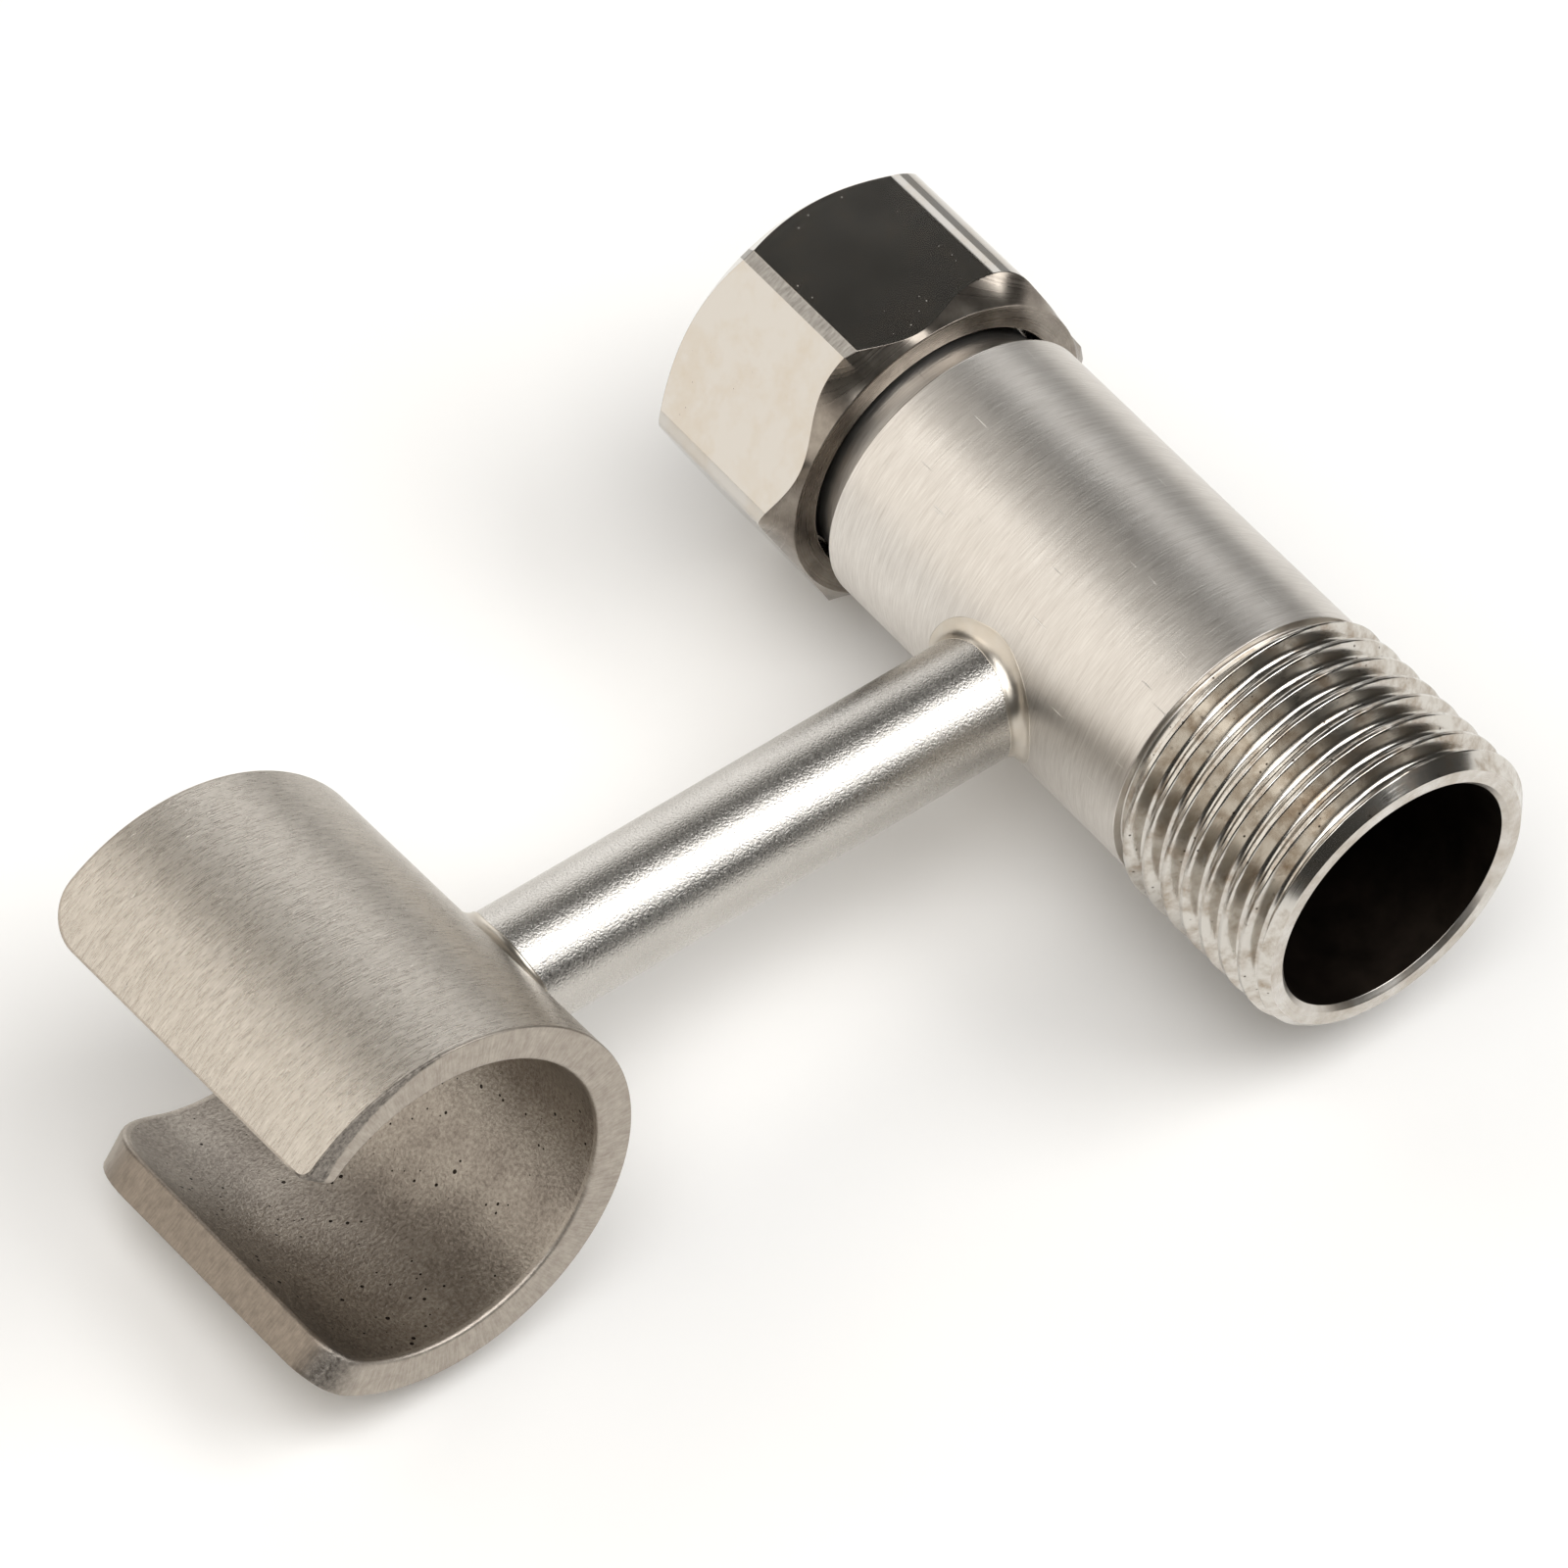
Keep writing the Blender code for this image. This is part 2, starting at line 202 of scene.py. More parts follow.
def rounded(corners, steps=None, arc_steps=4):
    """Closed outline through corners (along, out, rounding, finish).

    Each corner is an arc that touches the two runs that meet there, and each run is cut into parts no
    longer than its finish's step, with a close point at both ends. Returns the points and the finish of
    each, where a finish runs from its corner to the next.
    """
    at = np.array([corner[:2] for corner in corners])
    rounding = np.array([corner[2] for corner in corners])
    after = np.roll(at, -1, axis=0) - at
    after /= np.linalg.norm(after, axis=1)[:, None]
    before = np.roll(after, 1, axis=0)
    turn = np.arctan2(before[:, 0] * after[:, 1] - before[:, 1] * after[:, 0], (before * after).sum(axis=1))
    cut = rounding * np.tan(np.abs(turn) / 2)
    starts = at - before * cut[:, None]
    ends = at + after * cut[:, None]
    side = np.sign(turn)[:, None] * np.stack([-before[:, 1], before[:, 0]], axis=1)
    centres = starts + side * rounding[:, None]
    points, finish = [], []
    for i, corner in enumerate(corners):
        sweep = turn[i] * np.linspace(0.0, 1.0, arc_steps + 1)
        spoke = starts[i] - centres[i]
        arc = centres[i] + np.stack([np.cos(sweep) * spoke[0] - np.sin(sweep) * spoke[1],
                                     np.sin(sweep) * spoke[0] + np.cos(sweep) * spoke[1]], axis=1)
        run = starts[(i + 1) % len(corners)] - ends[i]
        length = np.linalg.norm(run)
        parts = math.ceil(length / (steps or {}).get(corner[3], LONGEST_RUN))
        close = min(SUPPORT / length, 0.25)
        share = np.unique(np.concatenate([[close, 1.0 - close], np.linspace(0.0, 1.0, parts + 1)[1:-1]]))
        stretch = np.concatenate([arc, ends[i] + share[:, None] * run])
        points.append(stretch)
        finish += [corner[3]] * len(stretch)
    return np.concatenate(points), finish


def turned(stations, radii, turns):
    """Points of a turned surface.

    x = radius times the sine of the turn, y = station, z = radius times the cosine of the turn.
    """
    stations, radii, turns = np.broadcast_arrays(stations, radii, turns)
    return np.stack([radii * np.sin(turns), stations, radii * np.cos(turns)], axis=-1)


def thread_radius(stations, turns):
    """Radius of a right-hand pipe thread.

    The distance to the nearest crest along the axis, which moves one pitch a turn, gives the depth:
    none on the flat crest, then a straight flank, then a round root that touches both flanks.
    """
    shift = stations - OUTLET - THREAD_START - PITCH * turns / (2 * np.pi)
    from_crest = np.abs((shift / PITCH + 0.5) % 1.0 - 0.5) * PITCH
    from_root = PITCH / 2 - from_crest
    slope = 1 / math.tan(THREAD_HALF_ANGLE)
    touch = THREAD_ROOT * math.cos(THREAD_HALF_ANGLE)
    deepest = (PITCH / 2 - touch - THREAD_CREST) * slope + THREAD_ROOT * (1 - math.sin(THREAD_HALF_ANGLE))
    root = deepest - THREAD_ROOT + np.sqrt(THREAD_ROOT ** 2 - np.minimum(from_root, touch) ** 2)
    flank = np.maximum(from_crest - THREAD_CREST, 0.0) * slope
    return THREAD_RADIUS - np.where(from_root < touch, root, flank)


def smooth_step(value):
    """Goes from 0 to 1 with level ends."""
    value = np.clip(value, 0.0, 1.0)
    return value * value * (3.0 - 2.0 * value)


def connector_body(finishes):
    """Turned pipe: a closed profile swept round the pipe's axis, with the outlet thread cut into it.

    On the thread's rows the radius is the smaller of the profile's and the helix's, and the helix fades
    in at the outlet.
    """
    corners = [
        (OUTLET + BORE_CHAMFER, OUTLET_BORE, 0.05, "end"),
        (OUTLET, OUTLET_BORE + BORE_CHAMFER, 0.06, "end"),
        (OUTLET, THREAD_RADIUS - LEAD_CHAMFER, 0.06, "thread"),
        (OUTLET + LEAD_CHAMFER, THREAD_RADIUS, 0.1, "thread"),
        (RUNOUT_START - RUNOUT_CHAMFER, THREAD_RADIUS, 0.1, "thread"),
        (RUNOUT_START, THREAD_RADIUS - RUNOUT_CHAMFER, 0.05, "thread"),
        (RUNOUT_START, RUNOUT_RADIUS, 0.1, "thread"),
        (BODY_START, RUNOUT_RADIUS, 0.1, "turned"),
        (BODY_START, PIPE_RADIUS, 0.05, "turned"),
        (SHOULDER, PIPE_RADIUS, 0.12, "neck"),
        (SHOULDER, NECK_RADIUS, 0.15, "neck"),
        (RING_GROOVE[0], NECK_RADIUS, 0.1, "neck"),
        (RING_GROOVE[0], RING_GROOVE_RADIUS, 0.1, "neck"),
        (RING_GROOVE[1], RING_GROOVE_RADIUS, 0.1, "neck"),
        (RING_GROOVE[1], NECK_RADIUS, 0.1, "neck"),
        (NECK_END, NECK_RADIUS, 0.25, "neck"),
        (NECK_END, INLET_BORE, 0.15, "bore"),
        (BORE_STEP[1], INLET_BORE, 0.1, "bore"),
        (BORE_STEP[0], OUTLET_BORE, 0.1, "bore"),
    ]
    order = ["turned", "thread", "end", "neck", "bore"]
    profile, finish = rounded(corners, {"thread": PITCH / THREAD_ROWS})
    turns = np.linspace(-np.pi, np.pi, TURN_STEPS, endpoint=False)[None, :]
    stations = profile[:, :1]
    radii = np.repeat(profile[:, 1:], TURN_STEPS, axis=1)
    threaded = np.array(finish) == "thread"
    fade = smooth_step((stations - OUTLET) / THREAD_FADE - THREAD_FADE_LAG)
    cut = THREAD_RADIUS - fade * (THREAD_RADIUS - thread_radius(stations, turns))
    radii[threaded] = np.minimum(radii, cut)[threaded]
    points = turned(stations, radii, turns)
    return piece("turned_pipe", points, (True, True), [finishes[name] for name in order],
                 [order.index(name) for name in finish])


def hexagon():
    """Section of the nut: six flats whose corners are broken by narrow strips, or rubbed round by buffing.

    Returns the points and, for each, whether it starts a flat or a strip.
    """
    strip = math.radians(30) - math.acos(NUT_APOTHEM / NUT_CORNER)
    corners = []
    for k in range(6):
        turn = NUT_TURN + math.radians(60) * k
        rounding = NUT_RUBBED_CORNERS.get(k)
        if rounding:
            sharp = NUT_APOTHEM / math.cos(math.radians(30))
            corners.append((sharp * math.sin(turn), sharp * math.cos(turn), rounding, "flat"))
        else:
            for lean, name in ((-strip, "strip"), (strip, "flat")):
                at = turn + lean
                corners.append((NUT_CORNER * math.sin(at), NUT_CORNER * math.cos(at), 0.1, name))
    return rounded(corners, {"flat": 0.45}, 6)


def swivel_nut(finishes):
    """Hexagon nut: inside, a turned profile with the female thread; outside, a hexagon.

    At the near end a chamfer is ruled from the round end face to the hexagon's section. Its height swings
    six times a turn with a cosine, low near the middle of each flat, so each flat ends in a scallop. The
    far end has a plain cone: height = radius past the round end face times the tangent of its slope.
    """
    section, section_finish = hexagon()
    turns = np.arctan2(section[:, 0], section[:, 1])[None, :]
    outer = np.linalg.norm(section, axis=1)[None, :]
    lip_back = NUT_FACE + NUT_LIP
    relief_end = lip_back + NUT_RELIEF[1]
    corners = [
        (NUT_END, NUT_FACE_RADIUS, 0.03, "face"),
        (NUT_END, NUT_MOUTH_RADIUS, 0.05, "bore"),
        (NUT_END - (NUT_MOUTH_RADIUS - NUT_MINOR_RADIUS), NUT_MINOR_RADIUS, 0.1, "bore"),
        (relief_end, NUT_MINOR_RADIUS, 0.1, "bore"),
        (relief_end - (NUT_RELIEF[0] - NUT_MINOR_RADIUS), NUT_RELIEF[0], 0.1, "relief"),
        (lip_back, NUT_RELIEF[0], 0.15, "relief"),
        (lip_back, NUT_LIP_RADIUS, 0.1, "relief"),
        (NUT_FACE, NUT_LIP_RADIUS, 0.08, "face"),
        (NUT_FACE, NUT_FACE_RADIUS, 0.03, "cone"),
    ]
    order = ["flat", "strip", "cone", "face", "bore", "relief"]
    profile, finish = rounded(corners, {"bore": PITCH / NUT_THREAD_ROWS, "cone": NUT_END - NUT_FACE})
    inside = np.array(finish) != "cone"
    stations = np.repeat(profile[inside, :1], section.shape[0], axis=1)
    radii = np.repeat(profile[inside, 1:], section.shape[0], axis=1)
    finish = [name for name in finish if name != "cone"]
    cut = np.array(finish) == "bore"
    radii[cut] = np.maximum(radii, thread_radius(stations, turns))[cut]
    end_radii = NUT_FACE_RADIUS + CHAMFER_ROWS * (outer - NUT_FACE_RADIUS)
    swing = np.cos(6 * (turns - NUT_TURN - NUT_SCALLOP_TURN))
    rise = CHAMFER_ROWS * (NUT_SCALLOP[0] - NUT_SCALLOP[1] * swing)
    far_rise = CHAMFER_ROWS[::-1] * (outer - NUT_FACE_RADIUS) * math.tan(NUT_FAR_CHAMFER)
    first, last = NUT_FACE + rise[-1:], NUT_END - far_rise[:1]
    stations = np.concatenate([stations, NUT_FACE + rise, first + FLAT_ROWS * (last - first),
                               NUT_END - far_rise])
    radii = np.concatenate([radii, end_radii, np.repeat(outer, len(FLAT_ROWS), axis=0), end_radii[::-1]])
    finish += ["cone"] * (len(CHAMFER_ROWS) - 1) + ["flat"] * (len(FLAT_ROWS) + 1 + len(CHAMFER_ROWS))
    faces = np.array([order.index(name) for name in finish])[:, None]
    on_strip = (np.array(section_finish) == "strip")[None, :]
    faces = np.where((faces == order.index("flat")) & on_strip, order.index("strip"), faces)
    return piece("hexagon_nut", turned(stations, radii, turns), (True, True),
                 [finishes[name] for name in order], faces)


def washer(finish):
    """Flat ring: a rectangle with rounded corners swept round the pipe's axis."""
    low, high = reach("sealing_washer", 1)
    outer = reach("sealing_washer", 0)[1]
    corners = [(low, WASHER_BORE, 0.2, "rubber"), (high, WASHER_BORE, 0.2, "rubber"),
               (high, outer, 0.3, "rubber"), (low, outer, 0.3, "rubber")]
    profile, names = rounded(corners)
    turns = np.linspace(-np.pi, np.pi, TURN_STEPS, endpoint=False)[None, :]
    points = turned(profile[:, :1], profile[:, 1:], turns)
    return piece("rubber_washer", points, (True, True), [finish], [0] * len(names))


def snap_ring(finish):
    """Split ring: a round wire carried along an arc of the pipe's circle.

    At the domed ends the section shrinks with the cosine and moves on with the sine of the dome's angle.
    """
    low, high = reach("retaining_ring", 1)
    wire = (high - low) / 2
    radius = reach("retaining_ring", 2)[1] - wire
    dome = np.linspace(math.pi / 2, 0.0, 5)
    path = np.linspace(RING_GAP / 2, 2 * math.pi - RING_GAP / 2, 120)
    turns = np.concatenate([path[0] - wire * np.sin(dome[:-1]) / radius, path,
                            path[-1] + wire * np.sin(dome[-2::-1]) / radius])
    size = wire * np.concatenate([np.cos(dome[:-1]), np.ones(len(path)), np.cos(dome[-2::-1])])
    around = np.linspace(0.0, 2 * math.pi, 20, endpoint=False)[None, :]
    radii = radius + size[:, None] * np.cos(around)
    stations = (low + high) / 2 + size[:, None] * np.sin(around)
    points = turned(stations, radii, turns[:, None] + math.pi / 2)
    return piece("wire_snap_ring", points, (False, True), [finish], [0] * len(turns))


def pipe_wall(y, z):
    """How far along X the pipe's wall is, on the arm's side."""
    return -np.sqrt(PIPE_RADIUS ** 2 - z ** 2)


def cradle_wall(y, z):
    """How far along X the cradle's outer wall is, on the arm's side.

    The cradle's own height is the height turned back by its twist about X.
    """
    height = z * math.cos(CRADLE_TWIST) - y * math.sin(CRADLE_TWIST)
    return -CRADLE_REACH + np.sqrt(CRADLE_RADIUS ** 2 - height ** 2)


def holder_arm(finish):
    """Round bar: a circle carried along X.

    Its first and last rings lie on the walls that they meet, and a point inside each wall closes it.
    """
    around = np.linspace(0.0, 2 * math.pi, 144, endpoint=False)[None, :]
    y, z = ARM_RADIUS * np.cos(around), ARM_RADIUS * np.sin(around)
    share = np.linspace(0.0, 1.0, 120)[:, None]
    x = pipe_wall(y, z) + share * (cradle_wall(y, z) - pipe_wall(y, z))
    size = np.ones_like(x)
    inner = np.zeros_like(around)
    x = np.concatenate([inner - PIPE_RADIUS, x, inner - CRADLE_REACH + CRADLE_RADIUS])
    size = np.concatenate([inner, size, inner])
    points = np.stack([x, size * y, size * z], axis=-1)
    return piece("round_arm", points, (False, True), [finish], [0] * len(x))


def weld(name, wall, side, arm_leg, wall_leg, step, finish):
    """Fillet bead round the arm's end, which rides up and down on the round wall.

    Its section leaves the arm with a low step, falls to the wall in a hollow quarter ellipse and
    closes inside the metal, and it swells a little on the way round. A point's distance from the
    wall is taken along X.
    """
    around = np.linspace(0.0, 2 * math.pi, 160, endpoint=False)[None, :]
    swell = 1 + 0.05 * np.sin(3 * around + 0.6) + 0.04 * np.sin(7 * around + 2.0)
    arc = np.linspace(math.pi / 2, 0.0, 18)[:, None]
    toe = 0.02
    sunk = -0.2 * np.ones_like(around)
    out = swell * (wall_leg - (wall_leg - step) * np.cos(arc))
    off = swell * (arm_leg - (arm_leg - toe) * np.sin(arc))
    out = np.concatenate([out[:1], out, out[-1:] * 0.6, sunk, sunk])
    off = np.concatenate([sunk, off, off[-1:] + 0.03, off[-1:] + 0.05, sunk])
    radius = ARM_RADIUS + out
    y, z = radius * np.cos(around), radius * np.sin(around)
    points = np.stack([wall(y, z) + side * off, y, z], axis=-1)
    return piece(name, points, (True, True), [finish], [0] * len(points))


def plate_outline():
    """Outline of the cradle's plate, unrolled: millimetres across and along, with round corners."""
    low, high = CRADLE_RADIUS * LOWER_LIP, CRADLE_RADIUS * UPPER_LIP
    corners = [
        (low, CRADLE_OUTLET_END, LIP_CORNER, "long"),
        (high, CRADLE_OUTLET_END, SQUARE_CORNER, "short"),
        (high, CRADLE_NUT_END, LIP_CORNER, "long"),
        (low, CRADLE_NUT_END, GROUND_CORNER, "short"),
    ]
    return rounded(corners, {"long": OUTLINE_STEP, "short": OUTLINE_STEP}, 12)[0]


def spray_cradle(finishes):
    """Rolled plate.

    Rings that shrink from the plate's outline to its middle line make both faces, and the outline is
    carried round the edge with small arcs. The unrolled place is then bent: turn = millimetres across
    over the radius, x and z follow the turn's cosine and sine, and both ends lean with the height,
    because they were sawn askew.
    """
    outline = plate_outline()
    half = CRADLE_NUT_END
    low, high = outline[:, 0].min() + half, outline[:, 0].max() - half
    spine = np.stack([np.clip(outline[:, 0], low, high), np.zeros(len(outline))], axis=1)
    face = np.concatenate([np.linspace(half, FACE_START, FACE_ROWS), [0.3, 0.18]])
    arc = np.linspace(0.0, math.pi / 2, 6)
    inner = np.linspace(FACE_START, half, FACE_ROWS)
    wall = CRADLE_WALL - PLATE_EDGE - INNER_EDGE
    edge = np.concatenate([PLATE_EDGE * (1 - np.sin(arc)), np.zeros(7), INNER_EDGE * (1 - np.cos(arc))])
    edge_depth = np.concatenate([PLATE_EDGE * (1 - np.cos(arc)),
                                 PLATE_EDGE + wall * np.linspace(0, 1, 9)[1:-1],
                                 CRADLE_WALL - INNER_EDGE * (1 - np.sin(arc))])
    inset = np.concatenate([face, edge, inner])[:, None, None] / half
    depth = np.concatenate([np.zeros(len(face)), edge_depth, np.full(len(inner), CRADLE_WALL)])[:, None]
    flat = outline + inset * (spine - outline)
    turn = flat[..., 0] / CRADLE_RADIUS
    radius = CRADLE_RADIUS - depth
    height = radius * np.sin(turn)
    share = flat[..., 1] / np.where(flat[..., 1] > 0, CRADLE_NUT_END, CRADLE_OUTLET_END)
    lean = np.where(flat[..., 1] > 0, NUT_LEAN, -OUTLET_LEAN)
    along = flat[..., 1] + lean * height * share
    cosine, sine = math.cos(CRADLE_TWIST), math.sin(CRADLE_TWIST)
    points = np.stack([radius * np.cos(turn) - CRADLE_REACH,
                       along * cosine - height * sine, along * sine + height * cosine], axis=-1)
    order = ["outside", "edge", "inside"]
    rows = [0] * (len(face) - 1) + [1] * (len(edge) + 1) + [2] * len(inner)
    unrolled = np.concatenate([flat, np.broadcast_to(depth, flat.shape[:2])[..., None]], axis=-1)
    return piece("c_cradle", points, (False, True), [finishes[name] for name in order], rows, unrolled)


def linear(colour):
    """Linear red, green, blue and alpha of an sRGB hex colour."""
    channels = np.array([int(colour[i:i + 2], 16) for i in (1, 3, 5)]) / 255
    bright = ((channels + 0.055) / 1.055) ** 2.4
    return (*np.where(channels <= 0.04045, channels / 12.92, bright).tolist(), 1.0)


def add(material, kind, inputs, output=0, **settings):
    """Adds a node with its settings. Each input, by name or place, is a value or another node's output."""
    made = material.node_tree.nodes.new("ShaderNode" + kind)
    for name, value in settings.items():
        setattr(made, name, value)
    for name, value in inputs.items():
        if isinstance(value, bpy.types.NodeSocket):
            material.node_tree.links.new(value, made.inputs[name])
        else:
            made.inputs[name].default_value = value
    return made.outputs[output]


def start(name, metallic=1.0):
    """New material, its shader's inputs, and each point's millimetres from the crossing of the axes."""
    material = bpy.data.materials.new(name)
    material.use_nodes = True
    shader = material.node_tree.nodes["Principled BSDF"].inputs
    shader["Metallic"].default_value = metallic
    place = add(material, "TexCoord", {}, "Object")
    spot = add(material, "Mapping", {"Vector": place, "Location": (-CROSSING / MM).tolist(),
                                     "Scale": (1 / MM,) * 3})
    return material, shader, spot


def connect(material, shader, **sources):
    """Links node outputs to the shader's inputs."""
    for name, source in sources.items():
        material.node_tree.links.new(source, shader[name.replace("_", " ")])


def turned_satin_steel():
    """Stainless steel, turned and rubbed satin.

    Fine tool lines run round the pipe in bands of more and less shine, crossed by a few bright scratches
    along it from handling.
    """
    material, shader, spot = start("turned_satin_stainless_steel")
    # Real tool lines are about 0.05 mm apart, and are drawn twice as wide to show
    fine = add(material, "VectorMath", {0: spot, 1: (1 / 2, 1 / 0.11, 1 / 2)}, operation="MULTIPLY")
    lines = add(material, "TexNoise", {"Vector": fine, "Scale": 1.0, "Detail": 3.0, "Roughness": 0.65})
    wide = add(material, "VectorMath", {0: spot, 1: (1 / 4, 1 / 0.4, 1 / 4)}, operation="MULTIPLY")
    bands = add(material, "TexNoise", {"Vector": wide, "Scale": 1.0, "Detail": 3.0})
    clouds = add(material, "TexNoise", {"Vector": spot, "Scale": 1 / 6, "Detail": 3.0})
    lengthwise = add(material, "Mapping", {"Vector": spot, "Rotation": (0.1, 0.0, 0.15),
                                           "Scale": (1 / 0.2, 1 / 3.5, 1 / 0.2)})
    scratch = add(material, "TexNoise", {"Vector": lengthwise, "Scale": 1.0, "Detail": 1.0})
    scratches = add(material, "MapRange", {"Value": scratch, "From Min": 0.74, "From Max": 0.8})
    shade = add(material, "Math", {0: bands, 1: 0.35, 2: lines}, operation="MULTIPLY_ADD")
    even = add(material, "MapRange", {"Value": shade, "From Min": 0.4, "From Max": 0.95})
    tint = add(material, "Mix", {0: even, 6: linear("#C2BCB5"), 7: linear("#E0DCD6")}, 2, data_type="RGBA")
    bright = add(material, "Mix", {0: scratches, 6: tint, 7: linear("#E6E3DE")}, 2, data_type="RGBA")
    polish = add(material, "MapRange", {"Value": clouds, "From Min": 0.3, "From Max": 0.7,
                                        "To Min": 0.28, "To Max": 0.33})
    rough = add(material, "Math", {0: lines, 1: 0.08, 2: polish}, operation="MULTIPLY_ADD")
    grooves = add(material, "Bump", {"Height": lines, "Strength": 1.0, "Distance": 0.012 * MM})
    marks = add(material, "Bump", {"Height": scratches, "Strength": 1.0, "Distance": 0.02 * MM,
                                   "Normal": grooves}, invert=True)
    connect(material, shader, Base_Color=bright, Roughness=rough, Normal=marks)
    return material


def cut_thread_steel():
    """Stainless steel, thread cut and left bright: drag lines along it, brown stains and dark nicks."""
    material, shader, spot = start("cut_bright_stainless_steel")
    fine = add(material, "VectorMath", {0: spot, 1: (1 / 4, 1 / 0.12, 1 / 4)}, operation="MULTIPLY")
    lines = add(material, "TexNoise", {"Vector": fine, "Scale": 1.0, "Detail": 2.0})
    stain = add(material, "TexNoise", {"Vector": spot, "Scale": 1 / 1.6, "Detail": 5.0, "Roughness": 0.68})
    pits = add(material, "TexVoronoi", {"Vector": spot, "Scale": 1 / 0.9, "Randomness": 1.0}, "Distance")
    nicks = add(material, "MapRange", {"Value": pits, "From Min": 0.06, "From Max": 0.11,
                                       "To Min": 1.0, "To Max": 0.0})
    dull = add(material, "MapRange", {"Value": stain, "From Min": 0.45, "From Max": 0.7})
    tint = add(material, "Mix", {0: dull, 6: linear("#CFCBC4"), 7: linear("#A09282")}, 2, data_type="RGBA")
    dark = add(material, "Mix", {0: nicks, 6: tint, 7: linear("#4A4038")}, 2, data_type="RGBA")
    rough = add(material, "MapRange", {"Value": stain, "From Min": 0.3, "From Max": 0.8,
                                       "To Min": 0.13, "To Max": 0.28})
    grooves = add(material, "Bump", {"Height": lines, "Strength": 1.0, "Distance": 0.004 * MM})
    connect(material, shader, Base_Color=dark, Roughness=rough, Normal=grooves)
    return material


def faced_steel(name, dark, light):
    """Stainless steel, faced on the lathe: rings of fine tool marks round the axis, with faint stains."""
    material, shader, spot = start(name)
    across = add(material, "VectorMath", {0: spot, 1: (1.0, 0.0, 1.0)}, operation="MULTIPLY")
    radius = add(material, "VectorMath", {0: across}, "Value", operation="LENGTH")
    rings = add(material, "TexNoise", {"W": radius, "Scale": 1 / 0.15, "Detail": 3.0}, noise_dimensions="1D")
    stain = add(material, "TexNoise", {"Vector": spot, "Scale": 1 / 2, "Detail": 5.0, "Roughness": 0.65})
    uneven = add(material, "MapRange", {"Value": stain, "From Min": 0.35, "From Max": 0.65})
    tint = add(material, "Mix", {0: uneven, 6: linear(dark), 7: linear(light)}, 2, data_type="RGBA")
    rough = add(material, "MapRange", {"Value": rings, "To Min": 0.2, "To Max": 0.38})
    grooves = add(material, "Bump", {"Height": rings, "Strength": 1.0, "Distance": 0.006 * MM})
    connect(material, shader, Base_Color=tint, Roughness=rough, Normal=grooves)
    return material


def dark_bore_steel():
    """Stainless steel inside the bores: near black, which is painted shade, with brown blotches."""
    material, shader, spot = start("bore_painted_shade_stainless_steel")
    blotch = add(material, "TexNoise", {"Vector": spot, "Scale": 1 / 2.5, "Detail": 5.0, "Roughness": 0.6})
    # Near-black colours: painted shade inside the bores and the nut's relief groove
    tint = add(material, "Mix", {0: blotch, 6: linear("#1C1917"), 7: linear("#443A32")}, 2, data_type="RGBA")
    rough = add(material, "MapRange", {"Value": blotch, "To Min": 0.4, "To Max": 0.6})
    skin = add(material, "Bump", {"Height": blotch, "Strength": 1.0, "Distance": 0.02 * MM})
    connect(material, shader, Base_Color=tint, Roughness=rough, Normal=skin)
    return material


def polished_steel():
    """Stainless steel, ground and buffed to a mirror: faint stains, a slight wave and specks in clusters."""
    material, shader, spot = start("buffed_stainless_steel")
    stain = add(material, "TexNoise", {"Vector": spot, "Scale": 1 / 3, "Detail": 5.0, "Roughness": 0.62})
    dull = add(material, "MapRange", {"Value": stain, "From Min": 0.45, "From Max": 0.75})
    dust = add(material, "TexVoronoi", {"Vector": spot, "Scale": 1 / 0.6, "Randomness": 1.0}, "Distance")
    specks = add(material, "MapRange", {"Value": dust, "From Min": 0.05, "From Max": 0.1,
                                        "To Min": 1.0, "To Max": 0.0})
    clusters = add(material, "MapRange", {"Value": stain, "From Min": 0.5, "From Max": 0.6})
    seen = add(material, "Math", {0: specks, 1: clusters}, operation="MULTIPLY")
    tint = add(material, "Mix", {0: dull, 6: linear("#C7C3BD"), 7: linear("#C2B9AC")}, 2, data_type="RGBA")
    clean = add(material, "MapRange", {"Value": stain, "From Min": 0.3, "From Max": 0.8,
                                       "To Min": 0.09, "To Max": 0.12})
    rough = add(material, "Math", {0: seen, 1: 0.5, 2: clean}, operation="MULTIPLY_ADD")
    wave = add(material, "TexNoise", {"Vector": spot, "Scale": 1 / 4, "Detail": 0.0})
    buffed = add(material, "Bump", {"Height": wave, "Strength": 1.0, "Distance": 0.01 * MM})
    connect(material, shader, Base_Color=tint, Roughness=rough, Normal=buffed)
    return material


def broken_corner_steel():
    """Stainless steel, corner broken on a belt and not buffed: a dull grey strip with short strokes."""
    material, shader, spot = start("belt_ground_stainless_steel")
    fine = add(material, "VectorMath", {0: spot, 1: (1 / 0.8, 1 / 0.2, 1 / 0.8)}, operation="MULTIPLY")
    strokes = add(material, "TexNoise", {"Vector": fine, "Scale": 1.0, "Detail": 4.0, "Roughness": 0.7})
    uneven = add(material, "MapRange", {"Value": strokes, "From Min": 0.3, "From Max": 0.7})
    tint = add(material, "Mix", {0: uneven, 6: linear("#85817C"), 7: linear("#B5B1AB")}, 2, data_type="RGBA")
    rough = add(material, "MapRange", {"Value": strokes, "To Min": 0.3, "To Max": 0.5})
    grooves = add(material, "Bump", {"Height": strokes, "Strength": 1.0, "Distance": 0.03 * MM})
    connect(material, shader, Base_Color=tint, Roughness=rough, Normal=grooves)
    return material


